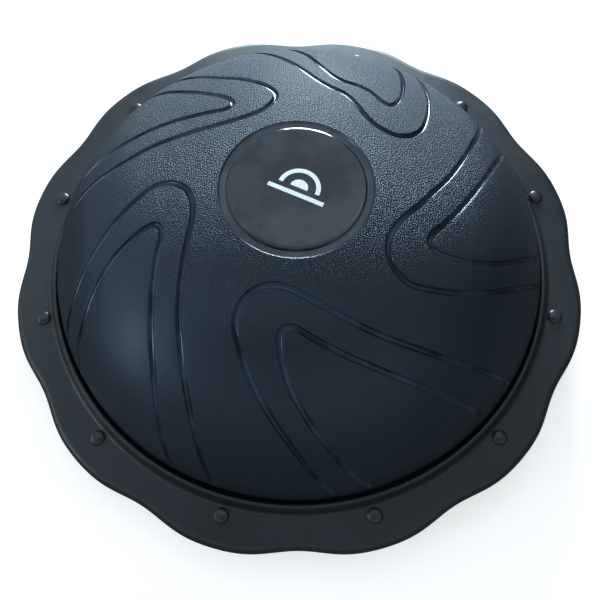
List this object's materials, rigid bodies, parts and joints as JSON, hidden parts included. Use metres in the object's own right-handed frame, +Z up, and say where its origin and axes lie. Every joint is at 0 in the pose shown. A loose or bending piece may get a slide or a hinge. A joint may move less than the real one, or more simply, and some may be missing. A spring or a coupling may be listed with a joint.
{
  "type": "balance dome trainer",
  "caption": "Half-ball balance trainer: a soft grained dome with swirling grooves and a round badge, clamped by a scalloped ring to a rigid platform on rubber feet.",
  "frame": {"origin": "centre of the footprint, on the floor under the rubber feet", "axes": "+Z up along the dome's axis; -Y is the side nearest the user, +X to the user's right"},
  "size_m": [0.5892, 0.5892, 0.1837],
  "materials": {
    "rim_plastic": "satin black moulded polypropylene with a fine spark grain",
    "platform_plastic": "matt black moulded polypropylene",
    "cap_plastic": "satin black moulded caps",
    "dome_vinyl": "blue-black soft PVC with a leather-like grain and smooth grooves",
    "badge_vinyl": "smooth glossy black PVC disc",
    "sheet_vinyl": "plain black PVC sheet",
    "valve_vinyl": "dark grey moulded PVC",
    "plug_plastic": "dark grey moulded plastic",
    "zinc_steel": "zinc-plated steel",
    "foot_rubber": "matt black rubber"
  },
  "bodies": {
    "base": {"base_platform": "platform_plastic", "clamp_ring": "rim_plastic", "bladder_floor": "sheet_vinyl", "valve_body": "valve_vinyl", "clamp_screw_01": "zinc_steel", "clamp_screw_02": "zinc_steel", "clamp_screw_03": "zinc_steel", "clamp_screw_04": "zinc_steel", "clamp_screw_05": "zinc_steel", "clamp_screw_06": "zinc_steel", "clamp_screw_07": "zinc_steel", "clamp_screw_08": "zinc_steel", "clamp_screw_09": "zinc_steel", "clamp_screw_10": "zinc_steel", "clamp_screw_11": "zinc_steel", "clamp_screw_12": "zinc_steel", "rim_cap_01": "cap_plastic", "rim_cap_02": "cap_plastic", "rim_cap_03": "cap_plastic", "rim_cap_04": "cap_plastic", "rim_cap_05": "cap_plastic", "rim_cap_06": "cap_plastic", "rim_cap_07": "cap_plastic", "rim_cap_08": "cap_plastic", "rim_cap_09": "cap_plastic", "rim_cap_10": "cap_plastic", "rim_cap_11": "cap_plastic", "rim_cap_12": "cap_plastic", "rubber_foot_01": "foot_rubber", "rubber_foot_02": "foot_rubber", "rubber_foot_03": "foot_rubber", "rubber_foot_04": "foot_rubber", "rubber_foot_05": "foot_rubber", "rubber_foot_06": "foot_rubber"},
    "dome": {"dome_shell": "dome_vinyl", "dome_badge": "badge_vinyl"},
    "plug": {"valve_plug": "plug_plastic"}
  },
  "joints": [
    {"name": "dome_press", "type": "slide", "parent": "base", "child": "dome", "axis": [0, 0, -1], "range_m": [0, 0.06], "stiffness_N_per_m": 12000, "springref_m": -0.003, "deforming": ["dome_shell"]},
    {"name": "valve_plug_pull", "type": "slide", "parent": "base", "child": "plug", "axis": [0, 0, -1], "range_m": [0, 0.022]}
  ]
}
